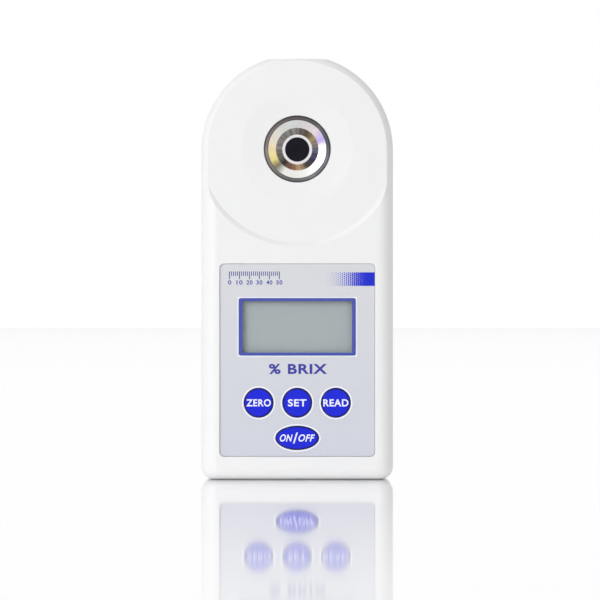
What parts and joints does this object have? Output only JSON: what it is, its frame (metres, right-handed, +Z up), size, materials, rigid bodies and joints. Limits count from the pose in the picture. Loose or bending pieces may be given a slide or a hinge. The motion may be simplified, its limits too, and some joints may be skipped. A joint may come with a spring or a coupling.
{
  "type": "digital brix meter",
  "caption": "Pocket digital brix meter: round head with a steel sample well over a prism, display and press keys on a silver panel, swinging battery door on the back.",
  "frame": {"origin": "middle of the flat lower end that the meter stands on, at mid width and mid depth", "axes": "+Z up along the meter towards its round head, +Y from the control panel to the back, +X to the right as seen from the front"},
  "size_m": [0.058, 0.028, 0.127],
  "materials": {
    "case_white": "satin moulded",
    "door_white": "satin moulded",
    "panel_silver": "satin silver print",
    "frame_blue": "glossy",
    "key_blue": "glossy",
    "clear_pane": "clear",
    "lcd": "matt display glass",
    "steel": "turned",
    "prism_glass": "polished",
    "lens_glass": "polished",
    "black_plastic": "matt moulded",
    "white_plastic": "matt moulded",
    "board_green": "solder mask",
    "chip_black": "moulded",
    "capacitor_tan": "fired",
    "can_metal": "bright",
    "flex_orange": "film",
    "seal_rubber": "matt",
    "contact_metal": "plated",
    "spring_steel": "plated",
    "screw_metal": "plated",
    "cell_wrap": "printed wrap"
  },
  "bodies": {
    "case": {"front_cover": "case_white", "rear_cover": "case_white", "case_gasket": "seal_rubber", "panel_overlay": "panel_silver", "display_frame": "frame_blue", "lcd_window": "clear_pane", "lcd_glass": "lcd", "lcd_holder": "white_plastic", "zebra_strips": "seal_rubber", "main_board": "board_green", "microcontroller": "chip_black", "amplifier_chips": "chip_black", "capacitors": "capacitor_tan", "crystal": "can_metal", "switch_bodies": "black_plastic", "sample_dish": "steel", "dish_seal": "seal_rubber", "prism": "prism_glass", "optics_housing": "black_plastic", "thermistor": "chip_black", "collimating_lens": "lens_glass", "focusing_lens": "lens_glass", "light_source": "lens_glass", "line_sensor": "chip_black", "light_board": "board_green", "sensor_board": "board_green", "optics_flex": "flex_orange", "sensor_ribbon": "flex_orange", "ribbon_connector": "white_plastic", "battery_left": "cell_wrap", "battery_right": "cell_wrap", "contact_positive": "contact_metal", "contact_negative": "contact_metal", "bridge_contact": "contact_metal", "battery_springs": "spring_steel", "case_screws": "screw_metal", "board_screws": "screw_metal", "optics_screws": "screw_metal"},
    "left_key": {"key_left": "key_blue", "plunger_left": "white_plastic"},
    "middle_key": {"key_middle": "key_blue", "plunger_middle": "white_plastic"},
    "right_key": {"key_right": "key_blue", "plunger_right": "white_plastic"},
    "power_key": {"key_power": "key_blue", "plunger_power": "white_plastic"},
    "door": {"battery_door": "door_white"}
  },
  "joints": [
    {"name": "left_key_press", "type": "slide", "parent": "case", "child": "left_key", "axis": [0, 1, 0], "range_m": [0, 0.0004], "stiffness_N_per_m": 2000},
    {"name": "middle_key_press", "type": "slide", "parent": "case", "child": "middle_key", "axis": [0, 1, 0], "range_m": [0, 0.0004], "stiffness_N_per_m": 2000},
    {"name": "right_key_press", "type": "slide", "parent": "case", "child": "right_key", "axis": [0, 1, 0], "range_m": [0, 0.0004], "stiffness_N_per_m": 2000},
    {"name": "power_key_press", "type": "slide", "parent": "case", "child": "power_key", "axis": [0, 1, 0], "range_m": [0, 0.0004], "stiffness_N_per_m": 2000},
    {"name": "battery_door_swing", "type": "hinge", "parent": "case", "child": "door", "pos_m": [0, 0.0126, 0.0084], "axis": [-1, 0, 0], "range_deg": [0, 85]}
  ]
}
